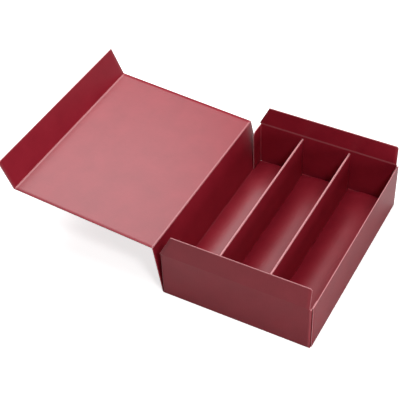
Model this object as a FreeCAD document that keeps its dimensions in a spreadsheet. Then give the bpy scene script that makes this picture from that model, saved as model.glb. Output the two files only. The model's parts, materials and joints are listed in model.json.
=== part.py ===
import FreeCAD, Part
import os
import re
import Sketcher

# Gift carton that ships three wine bottles lying side by side, shown open.
# Origin: centre of the base's underside. X runs from the lid's hinge side to
# the closing side, Y from the front wall to the back wall, Z up. Millimetres.
# The outer carton is one folded blank. Each panel of it that swings is drawn
# in its shut position with its crease on its own axis, and its placement
# opens it.

SIZES = {
    # Outer carton
    "carton_width": (258, "outside, hinge side to closing side"),
    "carton_length": (354, "outside, front to back"),
    "carton_height": (89, "outside, to the upper face of the shut dust flaps"),
    "board": (1.5, "thickness of the fine-flute board"),
    "crease_gap": (0.15, "air between two panels at a crease"),
    "crease_flat": (0.03, "flat left in the middle of a panel's rounded crease edge"),
    "panel_air": (0.3, "air between shut panels that lie side by side"),
    "fold_radius": (3.5, "outer radius of the upright folds at the corner tabs"),
    "base_fold_radius": (1.1, "outer radius of the folds round the base"),
    # Corner tabs
    "tab_reach": (28, "length along the side, from the end wall's outer face"),
    "tab_drop": (3, "from the end wall's top to the tab's top"),
    "tab_corner_radius": (8, "free upper corner of a tab"),
    "glue_layer": (1.0, "hot glue between a right tab and the side wall"),
    "glue_margin": (7, "from a right tab's edges to the glue"),
    # Side wall opposite the hinge
    "side_wall_setback": (4, "its cut ends behind the end walls' outer faces"),
    # Hinge wall
    "hinge_wall_root_inset": (2, "to the carton's end, at the base"),
    "hinge_wall_lean": (9.7, "degrees that it stands outward"),
    # Lid
    "lid_inset": (5, "to the carton's end, at each end of the lid"),
    "lid_rise": (4.5, "degrees that the open lid slopes up to its free edge"),
    "closing_air": (0.6, "between the shut closing flap and the side wall"),
    # Closing flap
    "closing_flap_depth": (52.5, "from its crease to its free edge"),
    "closing_flap_fold": (60.6, "degrees that it stands up from the lid's plane"),
    # Dust flaps
    "dust_flap_depth": (37.2, "from its crease to its free edge"),
    "dust_flap_root": (1.2, "tapered end at the crease, to the carton's side"),
    "dust_flap_tip": (19.2, "tapered end at the free edge, to the carton's side"),
    "dust_flap_end_air": (3.4, "square end to the side wall's inner face"),
    "dust_flap_corner_radius": (4, "free corner at the square end"),
    "front_flap_lean": (10.0, "degrees that the front flap leans inward"),
    "back_flap_lean": (1.2, "degrees that the back flap leans outward"),
    # Divider insert
    "bottles": (3, "compartments side by side"),
    "ply_gap": (0.4, "air inside a divider's hairpin fold"),
    "insert_side_air": (0.5, "insert's floor edges to the corner tabs"),
    "insert_front_air": (1.5, "insert to the front wall's inner face"),
    "insert_back_air": (5.5, "insert to the back wall's inner face"),
    "floor_crown": (6, "rise of an arched floor strip"),
    "foot_radius": (1.2, "inner radius where a floor strip turns up"),
}

DERIVED = {
    "crease_height": "carton_height - board / 2",
    "crease_radius": "(board - crease_flat) / 2",
    "end_wall_height": "crease_height - board / 2 - crease_gap",
    "tab_height": "end_wall_height - tab_drop",
    "tab_face": "board + panel_air",
    "hinge_wall_reach": "crease_height + board + panel_air - board / 2",
    "hinge_wall_top": "hinge_wall_reach - board / 2 - crease_gap",
    "lid_length": "carton_length - 2 * lid_inset",
    "lid_reach": "carton_width + closing_air",
    "lid_edge": "lid_reach - board / 2 - crease_gap",
    "dust_flap_end": "carton_width - board - dust_flap_end_air",
    "side_wall_face": "carton_width - board",
    "right_tab_face": "side_wall_face - glue_layer",
    "divider_width": "2 * board + ply_gap",
    "divider_height": "crease_height - board / 2 - panel_air - board",
    "pitch": "carton_width / bottles",
    "insert_start": "tab_face + board + insert_side_air",
    "insert_stop": "right_tab_face - board - insert_side_air",
    "insert_length": "carton_length - 2 * board - insert_front_air - insert_back_air",
    "hinge_line_x": "board / 2 - carton_width / 2",
    "lid_line_x": "hinge_line_x - hinge_wall_reach * sin(hinge_wall_lean * 1deg)",
    "lid_line_z": "board / 2 + hinge_wall_reach * cos(hinge_wall_lean * 1deg)",
    "flap_line_x": "lid_line_x - lid_reach * cos(lid_rise * 1deg)",
    "flap_line_z": "lid_line_z + lid_reach * sin(lid_rise * 1deg)",
}

ORIGIN_POINT = (-1, 1)
START, END, CENTRE = 1, 2, 3
NEAR = 0.001


def add_sizes(doc):
    sheet = doc.addObject("Spreadsheet::Sheet", "Sizes")
    row = 1
    for name, (value, meaning) in SIZES.items():
        sheet.set(f"A{row}", name)
        sheet.set(f"B{row}", str(value))
        sheet.set(f"C{row}", meaning)
        sheet.setAlias(f"B{row}", name)
        row += 1
    for name, formula in DERIVED.items():
        sheet.set(f"A{row}", name)
        sheet.set(f"B{row}", f"={formula}")
        sheet.setAlias(f"B{row}", name)
        row += 1
    doc.recompute()
    return sheet


def cells(formula):
    """Writes a formula of size names as one that reads the sheet's cells."""
    return re.sub(r"\b[a-z][a-z_]*\b(?!\()", r"Sizes.\g<0>", formula)


def add_body(doc, name):
    body = doc.addObject("PartDesign::Body", name)
    body.Label = name
    return body


def place(body, x, y, z, turn="", axis=(0, 1, 0)):
    """Binds a body's place, and its turn in degrees about one axis."""
    for letter, formula in zip("xyz", (x, y, z)):
        body.setExpression(f"Placement.Base.{letter}", cells(formula))
    if turn:
        body.Placement.Rotation = FreeCAD.Rotation(FreeCAD.Vector(*axis), 1)
        body.setExpression("Placement.Rotation.Angle", cells(turn))
        for letter, value in zip("xyz", axis):
            body.setExpression(f"Placement.Rotation.Axis.{letter}", str(value))


def add_sketch(body, name, plane):
    sketch = body.newObject("Sketcher::SketchObject", name)
    planes = {feature.Role: feature for feature in body.Origin.OriginFeatures}
    sketch.AttachmentSupport = (planes[plane], [""])
    sketch.MapMode = "FlatFace"
    return sketch


def bind(sketch, formula, *constraint):
    value = sketch.evalExpression(cells(formula))
    index = sketch.addConstraint(Sketcher.Constraint(*constraint, float(value)))
    sketch.setExpression(f"Constraints[{index}]", cells(formula))


def pin_point(sketch, curve, point, across, up):
    bind(sketch, across, "DistanceX", *ORIGIN_POINT, curve, point)
    bind(sketch, up, "DistanceY", *ORIGIN_POINT, curve, point)


def near_place(sketch, across, up):
    """First guess of a point, from which the constraints are solved."""
    values = [float(sketch.evalExpression(cells(formula))) for formula in (across, up)]
    return FreeCAD.Vector(*values, 0)


def join_ends(sketch, curves):
    for curve, after in zip(curves, curves[1:] + curves[:1]):
        sketch.addConstraint(Sketcher.Constraint("Coincident", curve, END, after, START))


def draw_outline(sketch, corners):
    """Draws a closed outline of straight lines with every corner bound."""
    places = [near_place(sketch, *corner) for corner in corners]
    lines = []
    for here, there in zip(places, places[1:] + places[:1]):
        lines.append(sketch.addGeometry(Part.LineSegment(here, there)))
    join_ends(sketch, lines)
    for line, corner in zip(lines, corners):
        pin_point(sketch, line, START, *corner)


def draw_rectangle(sketch, left, low, right, high):
    draw_outline(sketch, [(left, low), (right, low), (right, high), (left, high)])


def draw_arc(sketch, first, through, last):
    return sketch.addGeometry(Part.Arc(first, through, last))


def pad(body, sketch, length, name, midplane=False, reversed_way=False):
    feature = body.newObject("PartDesign::Pad", name)
    feature.Profile = sketch
    feature.setExpression("Length", cells(length))
    feature.Midplane = midplane
    feature.Reversed = reversed_way
    sketch.Visibility = False
    body.Document.recompute()
    return feature


def round_edges(body, name, radius, wanted):
    """Fillets those edges of the body so far that wanted(edge) picks."""
    tip = body.Tip
    edges = enumerate(tip.Shape.Edges, start=1)
    names = [f"Edge{number}" for number, edge in edges if wanted(edge)]
    feature = body.newObject("PartDesign::Fillet", name)
    feature.Base = (tip, names)
    feature.setExpression("Radius", cells(radius))
    body.Document.recompute()
    return feature


def is_along(edge, axis):
    """True for a straight edge parallel to one axis, given as 0, 1 or 2."""
    box = edge.BoundBox
    lengths = [box.XLength, box.YLength, box.ZLength]
    return lengths.pop(axis) > NEAR and max(lengths) < NEAR


def middle(edge):
    return edge.BoundBox.Center


def size(body, name):
    return float(body.Document.getObject("Sizes").get(name))


def round_crease(body, name, axis, at_crease):
    """Rounds a panel's long edges at its crease, so that it can turn there."""
    def wanted(edge):
        return is_along(edge, axis) and at_crease(middle(edge))
    round_edges(body, name, "crease_radius", wanted)


def build_tray(doc):
    """Base, front and back walls with their corner tabs, and the side wall."""
    body = add_body(doc, "folded_tray")
    place(body, "-carton_width / 2", "-carton_length / 2", "0")
    base = add_sketch(body, "base_outline", "XY_Plane")
    draw_rectangle(base, "tab_face", "0", "carton_width", "carton_length")
    pad(body, base, "board", "base")
    width, length = size(body, "carton_width"), size(body, "carton_length")
    build_end_wall(body, "front", "0", "")
    build_end_wall(body, "back", "carton_length", "-")
    round_edges(body, "base_corners", "side_wall_setback",
                lambda edge: is_along(edge, 2) and middle(edge).x > width - NEAR)
    cut_tab_tops(body)
    side = add_sketch(body, "side_wall_outline", "XY_Plane")
    draw_rectangle(side, "side_wall_face", "side_wall_setback", "carton_width",
                   "carton_length - side_wall_setback")
    pad(body, side, "carton_height", "side_wall")
    add_glue(body)

    def is_base_fold(edge):
        spot = edge.BoundBox
        at_rim = spot.XMax > width - NEAR or spot.YMin < NEAR or spot.YMax > length - NEAR
        return spot.ZMax < NEAR and at_rim and not is_hinge_side(spot)

    def is_hinge_side(spot):
        return spot.XMax < size(body, "tab_face") + NEAR

    round_edges(body, "base_folds", "base_fold_radius", is_base_fold)
    return body


def build_end_wall(body, name, face, way):
    """An end wall and its two corner tabs, folded from one strip of board.

    face is the wall's outer face in Y, and way is the sign that leads from
    there into the carton: nothing for plus.
    """
    sign = "-" if way else "+"
    tab_end = f"{face} {sign} tab_reach"
    inner = f"{face} {sign} board"
    plan = add_sketch(body, f"{name}_wall_plan", "XY_Plane")
    draw_outline(plan, [
        ("tab_face", face),
        ("right_tab_face", face),
        ("right_tab_face", tab_end),
        ("right_tab_face - board", tab_end),
        ("right_tab_face - board", inner),
        ("tab_face + board", inner),
        ("tab_face + board", tab_end),
        ("tab_face", tab_end),
    ])
    pad(body, plan, "end_wall_height", f"{name}_wall")
    outer_y = size(body, "carton_length") if way else 0.0
    board = size(body, "board")
    inner_y = outer_y - board if way else outer_y + board
    left = size(body, "tab_face")
    right = size(body, "right_tab_face")

    def is_upright_at(edge, xs, y):
        spot = middle(edge)
        near_x = min(abs(spot.x - x) for x in xs) < NEAR
        return is_along(edge, 2) and near_x and abs(spot.y - y) < NEAR

    round_edges(body, f"{name}_wall_outer_folds", "fold_radius",
                lambda edge: is_upright_at(edge, (left, right), outer_y))
    round_edges(body, f"{name}_wall_inner_folds", "fold_radius - board",
                lambda edge: is_upright_at(edge, (left + board, right - board), inner_y))


def cut_tab_tops(body):
    """Lowers the corner tabs below the end walls, and rounds their corners."""
    cut = add_sketch(body, "tab_tops", "YZ_Plane")
    draw_rectangle(cut, "fold_radius", "tab_height", "tab_reach + board",
                   "carton_height")
    draw_rectangle(cut, "carton_length - tab_reach - board", "tab_height",
                   "carton_length - fold_radius", "carton_height")
    pocket = body.newObject("PartDesign::Pocket", "lowered_tabs")
    pocket.Profile = cut
    pocket.Type = "ThroughAll"
    pocket.Reversed = True
    cut.Visibility = False
    body.Document.recompute()
    reach, height = size(body, "tab_reach"), size(body, "tab_height")
    length = size(body, "carton_length")

    def is_tab_corner(edge):
        spot = middle(edge)
        at_end = min(abs(spot.y - reach), abs(spot.y - length + reach)) < NEAR
        return is_along(edge, 0) and at_end and abs(spot.z - height) < NEAR

    round_edges(body, "tab_corners", "tab_corner_radius", is_tab_corner)


def add_glue(body):
    """The glue that holds each right tab a little inside the side wall."""
    sketch = add_sketch(body, "glue_outlines", "YZ_Plane")
    nearest, farthest = "fold_radius + glue_margin", "tab_reach - glue_margin"
    low, high = "board + glue_margin", "tab_height - tab_corner_radius - glue_margin"
    draw_rectangle(sketch, nearest, low, farthest, high)
    draw_rectangle(sketch, f"carton_length - ({farthest})", low,
                   f"carton_length - ({nearest})", high)
    sketch.setExpression(".AttachmentOffset.Base.z", cells("right_tab_face"))
    pad(body, sketch, "glue_layer", "glue")


def build_hinge_wall(doc):
    """The wall that carries the lid: free at both ends, creased at the base."""
    body = add_body(doc, "hinge_wall")
    place(body, "hinge_line_x", "-carton_length / 2", "board / 2", "-hinge_wall_lean")
    face = add_sketch(body, "hinge_wall_outline", "YZ_Plane")
    draw_outline(face, [
        ("hinge_wall_root_inset", "-board / 2"),
        ("carton_length - hinge_wall_root_inset", "-board / 2"),
        ("carton_length - lid_inset", "hinge_wall_top"),
        ("lid_inset", "hinge_wall_top"),
    ])
    pad(body, face, "board", "hinge_wall_panel", midplane=True)
    round_crease(body, "hinge_wall_crease", 1, lambda spot: spot.z < 0)
    return body


def build_lid(doc):
    """The lid panel, drawn shut and turned back about the hinge wall's top."""
    body = add_body(doc, "lid")
    place(body, "lid_line_x", "lid_inset - carton_length / 2", "lid_line_z",
          "lid_rise - 180")
    face = add_sketch(body, "lid_outline", "XY_Plane")
    draw_rectangle(face, "-board / 2", "0", "lid_edge", "lid_length")
    pad(body, face, "board", "lid_panel", midplane=True)
    round_crease(body, "lid_crease", 1, lambda spot: spot.x < 0)
    return body


def build_closing_flap(doc):
    """The flap on the lid's free edge, which shuts over the side wall."""
    body = add_body(doc, "closing_flap")
    place(body, "flap_line_x", "lid_inset - carton_length / 2", "flap_line_z",
          "lid_rise + closing_flap_fold - 90")
    face = add_sketch(body, "closing_flap_outline", "YZ_Plane")
    draw_rectangle(face, "0", "-board / 2", "lid_length", "closing_flap_depth")
    pad(body, face, "board", "closing_flap_panel", midplane=True)
    round_crease(body, "closing_flap_crease", 1, lambda spot: spot.z < 0)
    return body


def build_dust_flap(doc, name, line_y, turn):
    """A dust flap: tapered towards the hinge, rounded at its other corner."""
    body = add_body(doc, name)
    place(body, "-carton_width / 2", line_y, "crease_height", turn, (1, 0, 0))
    face = add_sketch(body, f"{name}_outline", "XZ_Plane")
    draw_outline(face, [
        ("dust_flap_root", "-board / 2"),
        ("dust_flap_end", "-board / 2"),
        ("dust_flap_end", "dust_flap_depth"),
        ("dust_flap_tip", "dust_flap_depth"),
    ])
    pad(body, face, "board", f"{name}_panel", midplane=True)
    end, depth = size(body, "dust_flap_end"), size(body, "dust_flap_depth")

    def is_free_corner(edge):
        spot = middle(edge)
        return is_along(edge, 1) and spot.x > end - NEAR and spot.z > depth - NEAR

    round_edges(body, f"{name}_corner", "dust_flap_corner_radius", is_free_corner)
    round_crease(body, f"{name}_crease", 0, lambda spot: spot.z < 0)
    return body


def build_insert(doc):
    """Arched floor strips and doubled dividers, folded from one sheet."""
    body = add_body(doc, "divider_insert")
    place(body, "-carton_width / 2", "board + insert_front_air - carton_length / 2",
          "board")
    count = int(size(body, "bottles"))
    for number in range(1, count):
        build_divider(body, number)
    for number in range(count):
        start = f"pitch * {number} + divider_width / 2" if number else "insert_start"
        last = number == count - 1
        stop = "insert_stop" if last else f"pitch * {number + 1} - divider_width / 2"
        build_floor_strip(body, number + 1, start, stop)
    round_feet(body)
    return body


def build_divider(body, number):
    """One divider: two upright plies and the round fold that joins them."""
    sketch = add_sketch(body, f"divider_{number}_section", "XZ_Plane")
    centre = f"pitch * {number}"
    spring = "divider_height - divider_width / 2"
    sides = [("divider_width / 2", "divider_height"),
             ("ply_gap / 2", "divider_height - board")]
    curves = []
    for half, crown in sides:
        left, right = f"{centre} - {half}", f"{centre} + {half}"
        foot_left = near_place(sketch, left, "0")
        spring_left = near_place(sketch, left, spring)
        top = near_place(sketch, centre, crown)
        spring_right = near_place(sketch, right, spring)
        foot_right = near_place(sketch, right, "0")
        rise = sketch.addGeometry(Part.LineSegment(foot_left, spring_left))
        arch = draw_arc(sketch, spring_left, top, spring_right)
        fall = sketch.addGeometry(Part.LineSegment(spring_right, foot_right))
        pin_point(sketch, rise, START, left, "0")
        pin_point(sketch, rise, END, left, spring)
        pin_point(sketch, fall, START, right, spring)
        pin_point(sketch, fall, END, right, "0")
        sketch.addConstraint(Sketcher.Constraint("Coincident", arch, END, rise, END))
        sketch.addConstraint(Sketcher.Constraint("Coincident", arch, START, fall, START))
        bind(sketch, spring, "DistanceY", *ORIGIN_POINT, arch, CENTRE)
        curves.append((rise, fall, foot_left, foot_right))
    outer, inner = curves
    left_foot = sketch.addGeometry(Part.LineSegment(outer[2], inner[2]))
    right_foot = sketch.addGeometry(Part.LineSegment(outer[3], inner[3]))
    for foot, end, point in ((left_foot, 0, START), (right_foot, 1, END)):
        sketch.addConstraint(Sketcher.Constraint("Coincident", foot, START, outer[end], point))
        sketch.addConstraint(Sketcher.Constraint("Coincident", foot, END, inner[end], point))
    pad(body, sketch, "insert_length", f"divider_{number}", reversed_way=True)


def build_floor_strip(body, number, start, stop):
    """A floor strip that arches up between its two feet."""
    sketch = add_sketch(body, f"floor_{number}_section", "XZ_Plane")
    centre = f"({start} + {stop}) / 2"
    span = f"({stop} - ({start}))"
    radius = f"({span} * {span} / 4 + floor_crown * floor_crown) / (2 * floor_crown)"
    under = draw_arc(sketch, near_place(sketch, start, "0"),
                     near_place(sketch, centre, "floor_crown"),
                     near_place(sketch, stop, "0"))
    over = draw_arc(sketch, near_place(sketch, start, "board"),
                    near_place(sketch, centre, "floor_crown + board"),
                    near_place(sketch, stop, "board"))
    pin_point(sketch, under, END, start, "0")
    pin_point(sketch, under, START, stop, "0")
    bind(sketch, radius, "Radius", under)
    sketch.addConstraint(Sketcher.Constraint("Coincident", over, CENTRE, under, CENTRE))
    bind(sketch, f"{radius} + board", "Radius", over)
    bind(sketch, start, "DistanceX", *ORIGIN_POINT, over, END)
    bind(sketch, stop, "DistanceX", *ORIGIN_POINT, over, START)
    for point in (START, END):
        low = sketch.getPoint(under, point)
        high = sketch.getPoint(over, point)
        edge = sketch.addGeometry(Part.LineSegment(low, high))
        sketch.addConstraint(Sketcher.Constraint("Coincident", edge, START, under, point))
        sketch.addConstraint(Sketcher.Constraint("Coincident", edge, END, over, point))
    pad(body, sketch, "insert_length", f"floor_{number}", reversed_way=True)


def round_feet(body):
    """Rounds the inside of each fold where a floor strip turns up a divider."""
    pitch, half = size(body, "pitch"), size(body, "divider_width") / 2
    count = int(size(body, "bottles"))
    board = size(body, "board")
    faces = [pitch * number + side for number in range(1, count) for side in (-half, half)]

    def is_foot(edge):
        spot = middle(edge)
        beside = min(abs(spot.x - face) for face in faces) < NEAR
        return is_along(edge, 1) and beside and board / 2 < spot.z < 2 * board

    round_edges(body, "foot_folds", "foot_radius", is_foot)


def check(doc, bodies):
    for item in doc.Objects:
        if "Invalid" in item.State or "Error" in item.State:
            raise RuntimeError(f"{item.Label} failed: {item.State}")
    for body in bodies:
        if body.Shape.isNull() or not body.Shape.isValid():
            raise RuntimeError(f"{body.Label} has no valid shape")
        if len(body.Shape.Solids) != 1:
            raise RuntimeError(f"{body.Label} has {len(body.Shape.Solids)} solids")


def main():
    os.makedirs("parts", exist_ok=True)
    doc = FreeCAD.newDocument("bottle_carton")
    add_sizes(doc)
    bodies = [
        build_tray(doc),
        build_hinge_wall(doc),
        build_lid(doc),
        build_closing_flap(doc),
        build_dust_flap(doc, "front_dust_flap", "board / 2 - carton_length / 2",
                        "-front_flap_lean"),
        build_dust_flap(doc, "back_dust_flap", "carton_length / 2 - board / 2",
                        "-back_flap_lean"),
        build_insert(doc),
    ]
    doc.recompute()
    check(doc, bodies)
    for body in bodies:
        body.Shape.exportStep(f"parts/{body.Label}.step")
        box = body.Shape.BoundBox
        print(f"{body.Label}: {body.Shape.Volume / 1000:.1f} cm3, "
              f"X {box.XMin:.2f} to {box.XMax:.2f}, "
              f"Y {box.YMin:.2f} to {box.YMax:.2f}, "
              f"Z {box.ZMin:.2f} to {box.ZMax:.2f}")


main()
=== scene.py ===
import json
import math

import bmesh
import bpy
from mathutils import Matrix, Vector


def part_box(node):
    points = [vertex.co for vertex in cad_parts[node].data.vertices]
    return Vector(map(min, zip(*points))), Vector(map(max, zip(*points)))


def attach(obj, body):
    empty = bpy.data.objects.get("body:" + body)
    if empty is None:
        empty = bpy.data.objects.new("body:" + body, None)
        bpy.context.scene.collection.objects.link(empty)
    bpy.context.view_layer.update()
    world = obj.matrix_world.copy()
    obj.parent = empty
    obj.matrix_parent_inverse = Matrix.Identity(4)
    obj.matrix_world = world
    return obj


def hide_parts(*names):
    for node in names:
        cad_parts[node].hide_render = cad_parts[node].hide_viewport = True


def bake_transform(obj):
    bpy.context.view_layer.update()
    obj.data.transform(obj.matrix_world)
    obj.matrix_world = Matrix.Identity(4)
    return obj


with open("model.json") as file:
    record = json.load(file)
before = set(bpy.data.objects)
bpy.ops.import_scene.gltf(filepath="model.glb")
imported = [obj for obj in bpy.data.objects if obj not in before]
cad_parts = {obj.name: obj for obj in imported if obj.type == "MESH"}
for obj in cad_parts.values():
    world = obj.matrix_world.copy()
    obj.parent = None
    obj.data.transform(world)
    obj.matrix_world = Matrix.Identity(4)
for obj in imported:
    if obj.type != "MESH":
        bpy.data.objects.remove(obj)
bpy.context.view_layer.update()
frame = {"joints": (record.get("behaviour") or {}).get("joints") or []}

# Every board piece below is one folded sheet: a middle line in one plane,
# drawn through corner points with a small radius at each fold, carried along
# the third axis. Lengths are metres.
MM = 0.001

HINGES = {joint["name"]: Vector(joint["pos_m"]) for joint in frame["joints"]}
TRAY_LOW, TRAY_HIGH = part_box("folded_tray")
LID_LOW, LID_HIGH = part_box("lid")
INSERT_LOW, INSERT_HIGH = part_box("divider_insert")
DUST_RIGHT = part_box("front_dust_flap")[1].x

# The board and its folds
BOARD = 1.5 * MM
HALF = BOARD / 2
CHAMFER = 0.16 * MM
EDGE_HEIGHTS = (HALF, HALF - CHAMFER, CHAMFER - HALF, -HALF)
CREASE_RADIUS = 0.8 * MM
SEAM = 0.9 * MM

# The carton
CREASE_HEIGHT = TRAY_HIGH.z - HALF
END_WALL_TOP = CREASE_HEIGHT - SEAM
TAB_FOLD_RADIUS = 2.75 * MM
TAB_FOLD = TAB_FOLD_RADIUS + HALF
TAB_LIFT = 0.1 * MM
TAB_TOP = END_WALL_TOP - 3 * MM
TAB_REACH = 28 * MM
TAB_CORNER = 8 * MM
GLUE_LAYER = 1.0 * MM
TAB_RIGHT = TRAY_HIGH.x - BOARD - GLUE_LAYER
BASE_RIGHT = TRAY_HIGH.x - HALF - CREASE_RADIUS
SIDE_SETBACK = 4 * MM
WALL_ROOT_INSET = 2 * MM
LID_INSET = 5 * MM
LID_BOW = 0.5 * MM
LID_SLOPE = math.radians(4.5)
FLAP_DEPTH = 52.5 * MM
FLAP_FOLD = math.radians(60.6)
DUST_DEPTH = 37.2 * MM
DUST_TIP = 19.2 * MM
DUST_ROOT = 1.2 * MM
DUST_CORNER = 4 * MM
DUST_CREASE_RADIUS = 2 * CREASE_RADIUS
FRONT_LEAN = math.radians(10.0)
BACK_LEAN = math.radians(1.2)

# The divider insert
BOTTLES = 3
PITCH = 2 * TRAY_HIGH.x / BOTTLES
PLY_RADIUS = 0.95 * MM
FOOT_RADIUS = 1.6 * MM
FOOT_ROOM = 1.4
FLOOR_CROWN = 6 * MM

# Pressed crease lines: from the sheet's end, and how deep
PRESS_WIDTH = 0.7 * MM
PRESS_REACH = 1.6 * MM
WALL_PRESS = (2.0 * MM, 0.3 * MM)
LID_PRESS = (3.2 * MM, 0.25 * MM)

# Folds and edges paled partly by wear and partly by a painted highlight where they catch light: half
# width, and share of the print that is replaced by the pale colour
BASE_FOLD_WEAR_AND_HIGHLIGHT = (2 * MM, 0.12)
WALL_TOP_WEAR_AND_HIGHLIGHT = (1.4 * MM, 0.3)
SIDE_TOP_WEAR_AND_HIGHLIGHT = (1.8 * MM, 0.1)
TAB_FOLD_WEAR_AND_HIGHLIGHT = (3 * MM, 0.08)
LID_CREASE_WEAR_AND_HIGHLIGHT = (2.4 * MM, 0.55)
LID_EDGE_WEAR_AND_HIGHLIGHT = (2.4 * MM, 0.3)
LID_EDGE_PLACE = 1.2 * MM
FRONT_CREASE_WEAR_AND_HIGHLIGHT = (2 * MM, 0.0)
BACK_CREASE_WEAR_AND_HIGHLIGHT = (2 * MM, 0.3)
FREE_EDGE_WEAR_AND_HIGHLIGHT = (1.5 * MM, 0.35)
# The divider crests are painted pale all over: a painted highlight on their rounded tops
CREST_WEAR_AND_HIGHLIGHT = (2.4 * MM, 1.0)

# Where each panel lies in the printed pattern, along the sheet
CHART = {"base": 0.0, "side_wall": 0.7, "tab": 1.2, "hinge_wall": 1.5, "lid": 2.0,
         "closing_flap": 2.6, "dust_flap": 3.0, "insert": 4.0}

# How finely the meshes follow the forms
BEND_STEP = math.radians(15)
ROW_STEP = 7 * MM
COLUMN_STEP = 7 * MM
GUARD = 0.5 * MM
CLOSEST_ROWS = 0.001 * MM
FOLD_ROWS = (-1.0, -0.67, -0.33, 0.0, 0.33, 0.67, 1.0)
BASE_CORNER_STEPS = 6
CORNER_DEGREES = range(0, 91, 10)
STRAIGHT = 0.05
SHARP_ANGLE = math.radians(50)


# A sheet's basis puts a point of its line's plane, and a place along the third
# axis, into space.
def in_xz(point, along):
    return Vector((point.x, along, point.y))


def in_yz(point, along):
    return Vector((along, point.x, point.y))


def in_xy(point, along):
    return Vector((point.x, point.y, along))


def heading(angle):
    return Vector((math.cos(angle), math.sin(angle)))


def flat_xz(vector):
    return Vector((vector.x, vector.z))


def flat_yz(vector):
    return Vector((vector.y, vector.z))


class FoldLine:
    """A folded sheet's middle line: straight runs, and a bend at each corner."""

    def __init__(self, corners, radii):
        self.legs = []
        self.length = 0.0
        corners = [Vector(corner) for corner in corners]
        here = corners[0]
        for number, radius in enumerate(radii, start=1):
            before = corners[number] - corners[number - 1]
            after = corners[number + 1] - corners[number]
            turn = -before.angle_signed(after)
            tangent = radius * math.tan(abs(turn) / 2)
            there = corners[number] - before.normalized() * tangent
            self.add(here, there - here, (there - here).length, 0.0)
            self.add(there, before, radius * abs(turn), math.copysign(1 / radius, turn))
            here = corners[number] + after.normalized() * tangent
        last = corners[-1] - here
        self.add(here, last, last.length, 0.0)

    def add(self, start, direction, length, curvature):
        angle = math.atan2(direction.y, direction.x)
        self.legs.append((self.length, length, start, angle, curvature))
        self.length += length

    def at(self, distance):
        """Point and left-hand normal at a distance along the line."""
        leg = self.legs[0]
        for candidate in self.legs:
            if candidate[0] <= distance:
                leg = candidate
        start_distance, _, start, angle, curvature = leg
        step = distance - start_distance
        left = Vector((-math.sin(angle), math.cos(angle)))
        if not curvature:
            return start + heading(angle) * step, left
        turned = angle + step * curvature
        normal = Vector((-math.sin(turned), math.cos(turned)))
        return start + left / curvature - normal / curvature, normal

    def stations(self, extra):
        """Distances at which the sheet gets a row, closer together at the bends."""
        found = {0.0, self.length, *extra}
        for start, length, _, _, curvature in self.legs:
            if curvature:
                count = max(2, math.ceil(length * abs(curvature) / BEND_STEP))
                found.update(start + length * number / count for number in range(count + 1))
            else:
                guard = min(GUARD, length / 3)
                found.update((start + guard, start + length - guard))
                count = max(1, round(length / ROW_STEP))
                found.update(start + length * number / count for number in range(1, count))
        rows = []
        for distance in sorted(found):
            if 0 <= distance <= self.length and (not rows or distance - rows[-1] > CLOSEST_ROWS):
                rows.append(distance)
        return rows


def fold_rows(place, reach):
    """Rows across a fold, for its wear and painted highlight or its pressed line to follow."""
    return [place + share * reach for share in FOLD_ROWS]


def rounding_rows(start, radius):
    """Rows along a rounded corner that starts at a distance along the sheet."""
    return [start + radius * math.sin(math.radians(angle)) for angle in CORNER_DEGREES]


def rounding_inset(past, radius):
    """How far a rounded corner draws in, that far past its start."""
    return radius - math.sqrt(max(0.0, radius ** 2 - max(0.0, past) ** 2))


def wear_and_highlight_at(distance, place, width, wear_and_highlight_share):
    """Wear and painted highlight of a fold: full on its middle third, none beyond its half width."""
    share = (1 - abs(distance - place) / width) * 1.5
    return wear_and_highlight_share * min(1.0, max(0.0, share))


def pressed(place, depth):
    """A warp that sinks the board's inside along one pressed line."""
    return lambda distance, across: depth * math.exp(-((distance - place) / PRESS_WIDTH) ** 2)


def place_object(name, data):
    made = bpy.data.objects.new(name, data)
    bpy.context.scene.collection.objects.link(made)
    return made


def sheet_grid(line, limits, inset, extra):
    """Spots (distance, across) in rows over the sheet, drawn in at its cut edges."""
    rows = line.stations(extra)
    columns = max(2, round(max(high - low for low, high in map(limits, rows)) / COLUMN_STEP))
    grid = []
    for distance in rows:
        low, high = limits(distance)
        low, high = low + inset["low"], high - inset["high"]
        grid.append([Vector((distance, low + (high - low) * column / columns))
                     for column in range(columns + 1)])
    for first, last in zip(grid[0], grid[-1]):
        first.x += inset["start"]
        last.x -= inset["end"]
    return grid


def sheet_rim(grid, inset):
    """Grid places round the border, and the inset of the edge after each."""
    last_row, last_column = len(grid) - 1, len(grid[0]) - 1
    rim = [(0, column) for column in range(last_column)]
    rim += [(row, last_column) for row in range(last_row)]
    rim += [(last_row, column) for column in range(last_column, 0, -1)]
    rim += [(row, 0) for row in range(last_row, 0, -1)]
    insets = [inset["start"]] * last_column + [inset["high"]] * last_row
    insets += [inset["end"]] * last_column + [inset["low"]] * last_row
    return rim, insets


def border_moves(loop, insets):
    """How far each border spot moves outward, given each edge's own inset."""
    moves = []
    for number, spot in enumerate(loop):
        ahead = loop[(number + 1) % len(loop)] - spot
        behind = spot - loop[number - 1]
        one = Vector((-behind.y, behind.x)).normalized()
        two = Vector((-ahead.y, ahead.x)).normalized()
        before, after = insets[number - 1], insets[number]
        cross = one.x * two.y - one.y * two.x
        if abs(cross) < STRAIGHT:
            moves.append((one + two).normalized() * max(before, after))
        else:
            moves.append(Vector(((before * two.y - after * one.y) / cross,
                                 (one.x * after - two.x * before) / cross)))
    return moves


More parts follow.
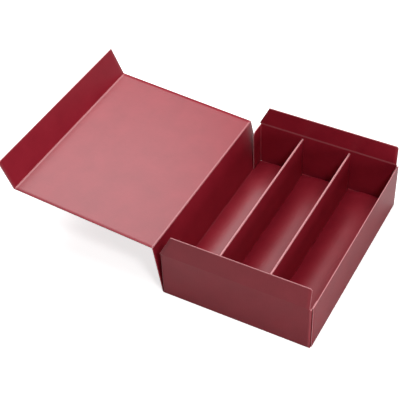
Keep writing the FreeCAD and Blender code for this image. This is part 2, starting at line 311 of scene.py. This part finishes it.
class SheetMesh:
    """A sheet's mesh, with the printed pattern's chart and each point's wear and painted highlight."""

    def __init__(self, line, basis, warp, folds):
        self.line, self.basis, self.warp, self.folds = line, basis, warp, folds
        self.mesh = bmesh.new()
        self.chart = self.mesh.loops.layers.uv.new("board")
        self.wear_and_highlight = self.mesh.verts.layers.float.new("wear_and_highlight")

    def point(self, spot, offset):
        """A vertex at a spot, offset from the sheet's middle."""
        middle, normal = self.line.at(spot.x)
        if self.warp:
            offset += self.warp(spot.x, spot.y)
        vert = self.mesh.verts.new(self.basis(middle + normal * offset, spot.y))
        vert[self.wear_and_highlight] = max((wear_and_highlight_at(spot.x, *fold) for fold in self.folds), default=0.0)
        return vert

    def face(self, corners, coordinates, material):
        made = self.mesh.faces.new(corners)
        made.material_index = material
        made.smooth = True
        for corner, coordinate in zip(made.loops, coordinates):
            corner[self.chart].uv = coordinate

    def cover(self, layer, grid, chart_start, material):
        """One printed face of the board."""
        for row in range(len(grid) - 1):
            for column in range(len(grid[0]) - 1):
                places = ((row, column), (row, column + 1),
                          (row + 1, column + 1), (row + 1, column))
                coordinates = [(grid[r][c].y, grid[r][c].x + chart_start) for r, c in places]
                self.face([layer[r][c] for r, c in places], coordinates, material)

    def edge(self, rings, loop, material):
        """The cut edge all round, chamfered towards both faces."""
        travel = 0.0
        for number, spot in enumerate(loop):
            after = (number + 1) % len(loop)
            step = (loop[after] - spot).length
            for upper, lower, high, low in zip(rings, rings[1:], EDGE_HEIGHTS, EDGE_HEIGHTS[1:]):
                self.face([upper[number], lower[number], lower[after], upper[after]],
                          [(travel, high), (travel, low), (travel + step, low),
                           (travel + step, high)], material)
            travel += step

    def finish(self, name):
        bmesh.ops.recalc_face_normals(self.mesh, faces=self.mesh.faces)
        data = bpy.data.meshes.new(name)
        self.mesh.to_mesh(data)
        self.mesh.free()
        data.set_sharp_from_angle(angle=SHARP_ANGLE)
        return place_object(name, data)


def sheet(name, line, basis, limits, cut, extra=(), inside=1, warp=None, folds=(), chart_start=0.0):
    """Builds a folded board of full thickness as one closed mesh.

    limits(distance) gives the sheet's two ends along the third axis. cut names
    the sides that are cut edges; the others butt against the next sheet.
    inside is 1 where the line's left-hand side is the carton's inside, else -1.
    warp(distance, across) moves the board off its line. folds lists bands of wear and painted
    highlight as (distance, half width, share). chart_start shifts the printed pattern.
    """
    inset = {side: CHAMFER if side in cut else 0.0 for side in ("start", "end", "low", "high")}
    bands = [row for place, width, _ in folds for row in fold_rows(place, width)]
    grid = sheet_grid(line, limits, inset, [*extra, *bands])
    rim, insets = sheet_rim(grid, inset)
    loop = [grid[row][column] for row, column in rim]
    moves = border_moves(loop, insets)

    made = SheetMesh(line, basis, warp, folds)
    faces = [[[made.point(spot, height * inside) for spot in row] for row in grid]
             for height in (HALF, -HALF)]
    edges = [[made.point(spot + move, height * inside) for spot, move in zip(loop, moves)]
             for height in EDGE_HEIGHTS[1:-1]]
    inner, outer = ([layer[row][column] for row, column in rim] for layer in faces)
    for material, layer in enumerate(faces):
        made.cover(layer, grid, chart_start, material)
    made.edge([inner, *edges, outer], loop, material=2)
    return made.finish(name)


def join(name, sheets):
    """Makes one object of several sheets that are one board in the real thing."""
    mesh = bmesh.new()
    for part in sheets:
        mesh.from_mesh(part.data)
    data = bpy.data.meshes.new(name)
    mesh.to_mesh(data)
    mesh.free()
    for part in sheets:
        bpy.data.objects.remove(part)
    return place_object(name, data)


def finish_piece(piece, slot):
    for material in FINISHES[slot]:
        piece.data.materials.append(material)


def between(low, high):
    return lambda distance: (low, high)


def swing(piece, before, after, basis, seam=SEAM):
    """Works out the piece's offset at its crease, from the parent's plane to its own, but does not
    apply it; only bakes the piece's transform into its mesh.
    """
    forward = (before.normalized() + after.normalized()).normalized()
    half_turn = before.angle(after) / 2
    reach = seam * math.cos(half_turn) - HALF * math.sin(half_turn)
    offset = basis(forward, 0.0) * reach
    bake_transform(piece)


def build_base():
    """The base with both end walls, which are narrower for the folds of their tabs."""
    front, back = TRAY_LOW.y + HALF, TRAY_HIGH.y - HALF
    line = FoldLine([(front, END_WALL_TOP), (front, HALF), (back, HALF), (back, END_WALL_TOP)],
                    [CREASE_RADIUS, CREASE_RADIUS])
    fold_length = CREASE_RADIUS * math.pi / 2
    base_start = END_WALL_TOP - HALF - CREASE_RADIUS + fold_length
    base_stop = line.length - base_start
    fold_middle = base_start - fold_length / 2

    def limits(distance):
        inward = min(distance - base_start, base_stop - distance)
        if inward < -fold_length / 2:
            return TRAY_LOW.x + TAB_FOLD, TAB_RIGHT - TAB_FOLD
        past = min(SIDE_SETBACK, SIDE_SETBACK - CREASE_RADIUS - HALF - inward)
        return TRAY_LOW.x, min(BASE_RIGHT, TRAY_HIGH.x - rounding_inset(past, SIDE_SETBACK))

    steps = [SIDE_SETBACK * step / BASE_CORNER_STEPS for step in range(BASE_CORNER_STEPS + 1)]
    extra = [base_start + step for step in steps] + [base_stop - step for step in steps]
    folds = [(fold_middle, *BASE_FOLD_WEAR_AND_HIGHLIGHT), (line.length - fold_middle, *BASE_FOLD_WEAR_AND_HIGHLIGHT),
             (line.length, *WALL_TOP_WEAR_AND_HIGHLIGHT)]
    return sheet("base_and_end_walls", line, in_yz, limits, (), extra, folds=folds,
                 chart_start=CHART["base"])


def build_side_wall():
    line = FoldLine([(BASE_RIGHT, HALF), (TRAY_HIGH.x - HALF, HALF),
                     (TRAY_HIGH.x - HALF, TRAY_HIGH.z)], [CREASE_RADIUS])
    return sheet("side_wall", line, in_xz,
                 between(TRAY_LOW.y + SIDE_SETBACK, TRAY_HIGH.y - SIDE_SETBACK),
                 ("end", "low", "high"), folds=[(line.length, *SIDE_TOP_WEAR_AND_HIGHLIGHT)],
                 chart_start=CHART["side_wall"])


def build_tab(wall_x, wall_y, to_centre_x, to_centre_y):
    """A corner tab, folded off an end wall and lying along the carton's side."""
    across, along = wall_x + to_centre_x * HALF, wall_y + to_centre_y * HALF
    line = FoldLine([(wall_x + to_centre_x * TAB_FOLD, along), (across, along),
                     (across, wall_y + to_centre_y * TAB_REACH)], [TAB_FOLD_RADIUS])
    bend_start, bend_length = line.legs[1][:2]
    fold_middle = bend_start + bend_length / 2
    rounding = line.length - TAB_CORNER

    def limits(distance):
        if distance < fold_middle:
            return BOARD + TAB_LIFT, END_WALL_TOP
        return BOARD + TAB_LIFT, TAB_TOP - rounding_inset(distance - rounding, TAB_CORNER)

    return sheet("tab", line, in_xy, limits, ("end", "low", "high"),
                 rounding_rows(rounding, TAB_CORNER), inside=-to_centre_x * to_centre_y,
                 folds=[(fold_middle, *TAB_FOLD_WEAR_AND_HIGHLIGHT)], chart_start=CHART["tab"])


def build_tray():
    sheets = [build_base(), build_side_wall()]
    for wall_y, to_centre_y in ((TRAY_LOW.y, 1), (TRAY_HIGH.y, -1)):
        for wall_x, to_centre_x in ((TRAY_LOW.x, 1), (TAB_RIGHT, -1)):
            sheets.append(build_tab(wall_x, wall_y, to_centre_x, to_centre_y))
    piece = join("folded_tray_board", sheets)
    finish_piece(piece, "carton_board")
    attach(piece, "tray")
    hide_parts("folded_tray")


def build_hinge_wall():
    hinge, top = HINGES["wall_hinge"], HINGES["lid_hinge"]
    before, after = Vector((-1, 0)), flat_xz(top - hinge)
    root = Vector((TRAY_LOW.x, hinge.z))
    last = flat_xz(top) - after.normalized() * SEAM
    line = FoldLine([root, flat_xz(hinge), last], [CREASE_RADIUS])
    press_place = line.length - WALL_PRESS[0]

    def limits(distance):
        share = min(1.0, max(0.0, distance / after.length))
        inset = WALL_ROOT_INSET + (LID_INSET - WALL_ROOT_INSET) * share
        return TRAY_LOW.y + inset, TRAY_HIGH.y - inset

    piece = sheet("hinge_wall_board", line, in_xz, limits, ("low", "high"),
                  fold_rows(press_place, PRESS_REACH), inside=-1,
                  warp=pressed(press_place, WALL_PRESS[1]), chart_start=CHART["hinge_wall"])
    finish_piece(piece, "carton_board")
    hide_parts("hinge_wall")
    swing(piece, before, after, in_xz, seam=root.x - hinge.x)


def build_lid():
    hinge, edge, base = HINGES["lid_hinge"], HINGES["closing_flap_hinge"], HINGES["wall_hinge"]
    before, after = flat_xz(hinge - base), flat_xz(edge - hinge)
    root = flat_xz(hinge) - before.normalized() * SEAM
    last = flat_xz(edge) - after.normalized() * SEAM
    line = FoldLine([root, flat_xz(hinge), last], [CREASE_RADIUS])
    crease_press = pressed(line.length - LID_PRESS[0], LID_PRESS[1])

    def warp(distance, across):
        along = math.sin(math.pi * distance / line.length)
        bow = LID_BOW * along * math.cos(math.pi * across / (LID_HIGH.y - LID_LOW.y))
        return crease_press(distance, across) - bow

    piece = sheet("lid_board", line, in_xz, between(LID_LOW.y, LID_HIGH.y), ("low", "high"),
                  inside=-1, warp=warp, chart_start=CHART["lid"],
                  folds=[(SEAM, *LID_CREASE_WEAR_AND_HIGHLIGHT), (line.length - LID_EDGE_PLACE, *LID_EDGE_WEAR_AND_HIGHLIGHT)])
    finish_piece(piece, "carton_board")
    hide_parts("lid")
    swing(piece, before, after, in_xz)


def build_closing_flap():
    hinge, base = HINGES["closing_flap_hinge"], HINGES["lid_hinge"]
    before, after = flat_xz(hinge - base), heading(math.pi - LID_SLOPE - FLAP_FOLD)
    root = flat_xz(hinge) - before.normalized() * SEAM
    line = FoldLine([root, flat_xz(hinge), flat_xz(hinge) + after * FLAP_DEPTH], [CREASE_RADIUS])
    piece = sheet("closing_flap_board", line, in_xz, between(LID_LOW.y, LID_HIGH.y),
                  ("end", "low", "high"), inside=-1, folds=[(line.length, *FREE_EDGE_WEAR_AND_HIGHLIGHT)],
                  chart_start=CHART["closing_flap"])
    finish_piece(piece, "carton_board")
    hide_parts("closing_flap")
    swing(piece, before, after, in_xz)


def build_dust_flap(name, hinge_name, lean, inside, crease_wear_and_highlight):
    """A dust flap, tapered at the hinge side; it leans towards the back by lean."""
    hinge = HINGES[hinge_name]
    before, after = Vector((0, 1)), heading(math.pi / 2 - lean)
    middle = flat_yz(hinge)
    line = FoldLine([middle - before * SEAM, middle, middle + after * DUST_DEPTH],
                    [DUST_CREASE_RADIUS])
    rounding = line.length - DUST_CORNER

    def limits(distance):
        share = (distance - SEAM) / (line.length - SEAM)
        low = -TRAY_HIGH.x + DUST_ROOT + (DUST_TIP - DUST_ROOT) * share
        if distance < SEAM:
            low = TRAY_LOW.x + TAB_FOLD
        return low, DUST_RIGHT - rounding_inset(distance - rounding, DUST_CORNER)

    piece = sheet(f"{name}_board", line, in_yz, limits, ("end", "low", "high"),
                  rounding_rows(rounding, DUST_CORNER), inside,
                  folds=[(SEAM, *crease_wear_and_highlight), (line.length, *FREE_EDGE_WEAR_AND_HIGHLIGHT)],
                  chart_start=CHART["dust_flap"])
    finish_piece(piece, "carton_board")
    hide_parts(name)
    swing(piece, before, after, in_yz)


def insert_line(floor_z, top_z):
    """The insert's middle line: an arched floor strip, then a divider, and so on."""
    corners, radii = [Vector((INSERT_LOW.x, floor_z))], []
    for number in range(1, BOTTLES + 1):
        start = corners[-1].x
        stop = PITCH * number - TRAY_HIGH.x - PLY_RADIUS if number < BOTTLES else INSERT_HIGH.x
        half = (stop - start) / 2
        slope = 2 * math.atan(FLOOR_CROWN / half)
        room = FOOT_RADIUS * math.tan((math.pi / 2 - slope) / 2) * FOOT_ROOM
        corners.append(Vector(((start + stop) / 2, floor_z + half * math.tan(slope))))
        radii.append((half / math.cos(slope) - room) / math.tan(slope))
        corners.append(Vector((stop, floor_z)))
        if number < BOTTLES:
            across = stop + 2 * PLY_RADIUS
            corners += [Vector((stop, top_z)), Vector((across, top_z)), Vector((across, floor_z))]
            radii += [FOOT_RADIUS, PLY_RADIUS, PLY_RADIUS, FOOT_RADIUS]
    return FoldLine(corners, radii)


def build_insert():
    top_z = INSERT_HIGH.z - HALF
    line = insert_line(INSERT_LOW.z + HALF, top_z)
    top_bends = [start + length for start, length, place, _, curvature in line.legs
                 if curvature and place.y > top_z - 2 * PLY_RADIUS]
    crests = top_bends[::2]
    piece = sheet("divider_insert_board", line, in_xz, between(INSERT_LOW.y, INSERT_HIGH.y),
                  ("start", "end", "low", "high"), chart_start=CHART["insert"],
                  folds=[(crest, *CREST_WEAR_AND_HIGHLIGHT) for crest in crests])
    finish_piece(piece, "insert_board")
    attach(piece, "tray")
    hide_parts("divider_insert")


# Colours are linear red, green and blue
SPECULAR = 0.5
ROUGHNESS = 0.40
ROUGHNESS_SWING = 0.04
EDGE_ROUGHNESS = (0.55, 0.7)
INSIDE = ((0.285, 0.0090, 0.0230), (0.335, 0.0140, 0.0300))
OUTSIDE = ((0.255, 0.0080, 0.0200), (0.300, 0.0125, 0.0260))
# Pale pink laid along folds and edges: partly wear, partly a painted highlight
WEAR_AND_HIGHLIGHT_PINK = (0.74, 0.33, 0.35)
EDGE_LINER = (0.54, 0.14, 0.16)
EDGE_CORE = (0.74, 0.33, 0.35)
INSERT_EDGE_LINER = (0.34, 0.02, 0.035)
INSERT_EDGE_CORE = (0.40, 0.07, 0.08)
CORE_SHADE = 0.8
CORE_SHARES = (0.55, 0.75)

# Noise scales are repeats a metre; rises are metres of bump
CLOUD_SCALE = 26.0
GRAIN_SCALE = 1500.0
EDGE_GRAIN_SCALE = 1800.0
WEAR_AND_HIGHLIGHT_SCALE = 700.0
FIBRE_SCALES = (900.0, 90.0, 1.0)
FIBRE_SHARE = 0.12
FIBRE_GAIN = 1.5
FIBRE_LIFT = 0.012
FLUTE_PITCH = 3.3 * MM
FLUTE_RISE = 0.012 * MM
GRAIN_RISE = 0.02 * MM
EDGE_GRAIN_RISE = 2 * GRAIN_RISE


class Nodes:
    """Short forms for building a node tree."""

    def __init__(self, owner):
        owner.use_nodes = True
        self.tree = owner.node_tree

    def add(self, kind, inputs=None, **settings):
        node = self.tree.nodes.new(kind)
        for key, value in settings.items():
            setattr(node, key, value)
        self.fill(node, inputs or {})
        return node

    def fill(self, node, inputs):
        """Sets a node's inputs, each to a value or linked to another's output."""
        for key, value in inputs.items():
            if isinstance(value, bpy.types.NodeSocket):
                self.tree.links.new(value, node.inputs[key])
            else:
                node.inputs[key].default_value = value

    def math(self, operation, first, second=0.0):
        return self.add("ShaderNodeMath", {0: first, 1: second}, operation=operation).outputs[0]

    def mix(self, factor, first, second):
        """Mixes two colours, each a socket or three numbers."""
        first, second = (colour if isinstance(colour, bpy.types.NodeSocket) else (*colour, 1.0)
                         for colour in (first, second))
        node = self.add("ShaderNodeMix", {0: factor, 6: first, 7: second}, data_type="RGBA")
        return node.outputs[2]

    def noise(self, vector, scale, detail=3.0, roughness=0.55):
        node = self.add("ShaderNodeTexNoise", {"Vector": vector, "Scale": scale, "Detail": detail,
                                               "Roughness": roughness})
        return node.outputs[0]

    def spread(self, value, low, high, new_low=0.0, new_high=1.0):
        node = self.add("ShaderNodeMapRange", {0: value, 1: low, 2: high, 3: new_low, 4: new_high})
        return node.outputs[0]

    def chart(self):
        """The sheet's own chart in metres, and its two coordinates."""
        chart = self.add("ShaderNodeUVMap", uv_map="board").outputs[0]
        parts = self.add("ShaderNodeSeparateXYZ", {0: chart})
        return chart, parts.outputs[0], parts.outputs[1]

    def board(self, colour, roughness, height):
        """Fills the shader of a board surface."""
        bump = self.add("ShaderNodeBump", {"Height": height, "Strength": 1.0, "Distance": 1.0})
        self.fill(self.tree.nodes["Principled BSDF"], {
            "Base Color": colour, "Roughness": roughness, "Normal": bump.outputs[0],
            "Specular IOR Level": SPECULAR})

    def camera_ray(self):
        """One where the ray is the camera's own, else nothing."""
        return self.add("ShaderNodeLightPath").outputs["Is Camera Ray"]


def board_face(name, shades):
    """Printed liner of fine-flute board: mottled, with a faint washboard, and paled along folds and
    edges by wear and a painted highlight.
    """
    material = bpy.data.materials.new(name)
    nodes = Nodes(material)
    chart, across, _ = nodes.chart()
    dark, light = shades
    pale = [min(1.0, channel * FIBRE_GAIN + FIBRE_LIFT) for channel in light]
    cloud = nodes.spread(nodes.noise(chart, CLOUD_SCALE, 5.0), 0.3, 0.7)
    grain = nodes.noise(chart, GRAIN_SCALE, 4.0, 0.6)
    fibre_chart = nodes.add("ShaderNodeMapping", {"Vector": chart, "Scale": FIBRE_SCALES}).outputs[0]
    fibre = nodes.spread(nodes.noise(fibre_chart, 1.0), 0.35, 0.75)
    wear_and_highlight = nodes.add("ShaderNodeAttribute", attribute_name="wear_and_highlight").outputs["Fac"]
    ragged = nodes.spread(nodes.noise(chart, WEAR_AND_HIGHLIGHT_SCALE, 4.0, 0.7), 0.3, 0.7, 0.55, 1.25)
    colour = nodes.mix(cloud, dark, light)
    colour = nodes.mix(nodes.math("MULTIPLY", fibre, FIBRE_SHARE), colour, pale)
    # The pale pink along folds and edges is partly wear and partly a painted highlight
    colour = nodes.mix(nodes.math("MULTIPLY", wear_and_highlight, ragged), colour, WEAR_AND_HIGHLIGHT_PINK)
    flute = nodes.math("SINE", nodes.math("MULTIPLY", across, math.tau / FLUTE_PITCH))
    height = nodes.math("ADD", nodes.math("MULTIPLY", flute, FLUTE_RISE),
                        nodes.math("MULTIPLY", grain, GRAIN_RISE))
    roughness = nodes.spread(grain, 0.3, 0.7, ROUGHNESS - ROUGHNESS_SWING,
                             ROUGHNESS + ROUGHNESS_SWING)
    nodes.board(colour, roughness, height)
    return material


def cut_edge(name, liner, core):
    """Cut edge of the board: two liners with the paler fluted core between."""
    material = bpy.data.materials.new(name)
    nodes = Nodes(material)
    chart, _, through = nodes.chart()
    start, stop = (share * HALF for share in CORE_SHARES)
    is_core = nodes.spread(nodes.math("ABSOLUTE", through), start, stop, 1.0, 0.0)
    grain = nodes.spread(nodes.noise(chart, EDGE_GRAIN_SCALE), 0.3, 0.7)
    fluted = nodes.mix(grain, core, [channel * CORE_SHADE for channel in core])
    nodes.board(nodes.mix(is_core, liner, fluted), nodes.spread(grain, 0.0, 1.0, *EDGE_ROUGHNESS),
                nodes.math("MULTIPLY", grain, EDGE_GRAIN_RISE))
    return material


# Each board's inside face, outside face and cut edge
FINISHES = {
    "carton_board": [board_face("carton_board_inside", INSIDE),
                     board_face("carton_board_outside", OUTSIDE),
                     cut_edge("carton_board_cut_edge", EDGE_LINER, EDGE_CORE)],
    "insert_board": [board_face("insert_board_face", INSIDE),
                     board_face("insert_board_back", INSIDE),
                     cut_edge("insert_board_cut_edge", INSERT_EDGE_LINER, INSERT_EDGE_CORE)],
}

FLOOR_REACH = 8.0
FLOOR_DROP = 0.2 * MM
FLOOR_ALBEDO = 0.78
FLOOR_GLOW = 0.75
AMBIENT = 0.03
WHITE = (1.0, 1.0, 1.0, 1.0)


def build_floor():
    """White table paper. Its glow is for the camera only and lights nothing."""
    data = bpy.data.meshes.new("floor")
    mesh = bmesh.new()
    bmesh.ops.create_grid(mesh, x_segments=1, y_segments=1, size=FLOOR_REACH)
    mesh.to_mesh(data)
    mesh.free()
    floor = place_object("floor", data)
    floor.location.z = -FLOOR_DROP
    material = bpy.data.materials.new("floor_paper")
    nodes = Nodes(material)
    nodes.fill(nodes.tree.nodes["Principled BSDF"], {
        "Base Color": (FLOOR_ALBEDO, FLOOR_ALBEDO, FLOOR_ALBEDO, 1.0), "Roughness": 0.9,
        "Specular IOR Level": 0.1, "Emission Color": WHITE,
        "Emission Strength": nodes.math("MULTIPLY", nodes.camera_ray(), FLOOR_GLOW)})
    data.materials.append(material)


def build_world():
    """White where the camera looks past the floor, faint for every other ray."""
    world = bpy.data.worlds.new("studio")
    bpy.context.scene.world = world
    nodes = Nodes(world)
    strength = nodes.spread(nodes.camera_ray(), 0.0, 1.0, AMBIENT, 1.0)
    nodes.fill(nodes.tree.nodes["Background"], {"Color": WHITE, "Strength": strength})


def facing(azimuth, elevation):
    """The direction that looks back from a place, azimuth counted from the front to the right."""
    level = math.cos(elevation)
    return Vector((math.sin(azimuth) * level, -math.cos(azimuth) * level, math.sin(elevation)))


def build_softbox(name, target, azimuth, elevation, distance, side, radiance):
    """A square light that faces the target, placed by angles in degrees."""
    back = facing(math.radians(azimuth), math.radians(elevation))
    data = bpy.data.lights.new(name, "AREA")
    data.shape = "SQUARE"
    data.size = side
    data.energy = radiance * math.pi * side * side
    light = place_object(name, data)
    light.location = target + back * distance
    light.rotation_mode = "QUATERNION"
    light.rotation_quaternion = back.to_track_quat("Z", "Y")


def build_lights():
    carton = Vector((0.0, 0.0, 0.06))
    lid = (LID_LOW + LID_HIGH) / 2
    build_softbox("key", carton, azimuth=44, elevation=52, distance=1.8, side=0.32, radiance=30.0)
    build_softbox("overhead", carton, azimuth=0, elevation=90, distance=1.8, side=0.75, radiance=4.0)
    build_softbox("lid_sheen", lid, azimuth=216, elevation=56, distance=1.6, side=1.1, radiance=6.6)
    build_softbox("low_right", carton, azimuth=68, elevation=12, distance=1.8, side=0.75, radiance=5.6)


CAMERA_PLACE = Vector((0.5056, -1.1382, 1.2856))
CAMERA_AZIMUTH = math.radians(30.076)
CAMERA_ELEVATION = math.radians(43.419)
CAMERA_ROLL = math.radians(-2.693)
FOCAL_PIXELS = 1077.66
PHOTO_PIXELS = 400
SENSOR_WIDTH = 36.0


def build_camera():
    back = facing(CAMERA_AZIMUTH, CAMERA_ELEVATION)
    right = Vector((0, 0, 1)).cross(back).normalized()
    up = back.cross(right)
    cosine, sine = math.cos(CAMERA_ROLL), math.sin(CAMERA_ROLL)
    axes = (right * cosine + up * sine, up * cosine - right * sine, back)
    data = bpy.data.cameras.new("camera")
    data.sensor_width = SENSOR_WIDTH
    data.lens = FOCAL_PIXELS / PHOTO_PIXELS * SENSOR_WIDTH
    camera = place_object("camera", data)
    camera.matrix_world = Matrix.Translation(CAMERA_PLACE) @ Matrix(axes).transposed().to_4x4()
    bpy.context.scene.camera = camera


build_tray()
build_hinge_wall()
build_lid()
build_closing_flap()
build_dust_flap("front_dust_flap", "front_flap_hinge", FRONT_LEAN, -1, FRONT_CREASE_WEAR_AND_HIGHLIGHT)
build_dust_flap("back_dust_flap", "back_flap_hinge", BACK_LEAN, 1, BACK_CREASE_WEAR_AND_HIGHLIGHT)
build_insert()

build_floor()
build_world()
build_lights()
build_camera()
bpy.context.scene.view_settings.view_transform = "Standard"
